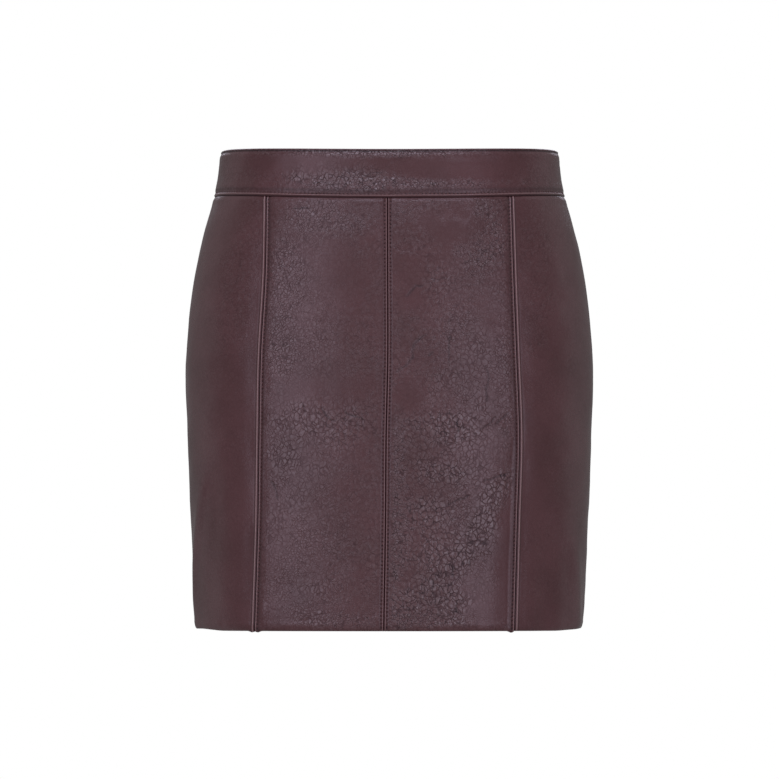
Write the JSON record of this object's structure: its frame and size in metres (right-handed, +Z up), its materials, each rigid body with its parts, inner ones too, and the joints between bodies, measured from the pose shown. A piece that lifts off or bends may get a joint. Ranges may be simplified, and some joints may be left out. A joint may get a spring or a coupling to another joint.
{
  "type": "leather mini skirt",
  "caption": "Short panelled leather skirt held in its worn, hollow shape, with a folded waistband, topstitched front seams, a plain turned-up hem and a concealed back zip.",
  "frame": {"origin": "middle of the waist opening, half way down the waistband, where the wearer's waist holds the skirt up", "axes": "+Z up towards the waist, the front faces -Y, +X is the wearer's left"},
  "size_m": [0.3372, 0.2412, 0.3977],
  "materials": {
    "leather": "semi-matt shrunken grain",
    "zip_tape": "knitted polyester tape",
    "zip_metal": "lacquered zinc"
  },
  "bodies": {
    "skirt": {"front_centre_left": "leather", "front_centre_right": "leather", "front_side_left": "leather", "front_side_right": "leather", "back_left": "leather", "back_right": "leather", "waistband_front": "leather", "waistband_back_left": "leather", "waistband_back_right": "leather", "zip_tape_left": "zip_tape", "zip_tape_right": "zip_tape", "zip_slider": "zip_metal"},
    "pull_tab": {"zip_pull": "zip_metal"}
  },
  "joints": [
    {"name": "pull_tab_swing", "type": "hinge", "parent": "skirt", "child": "pull_tab", "pos_m": [0, 0.0967, 0.0097], "axis": [1, 0, 0], "range_deg": [0, 150]}
  ]
}
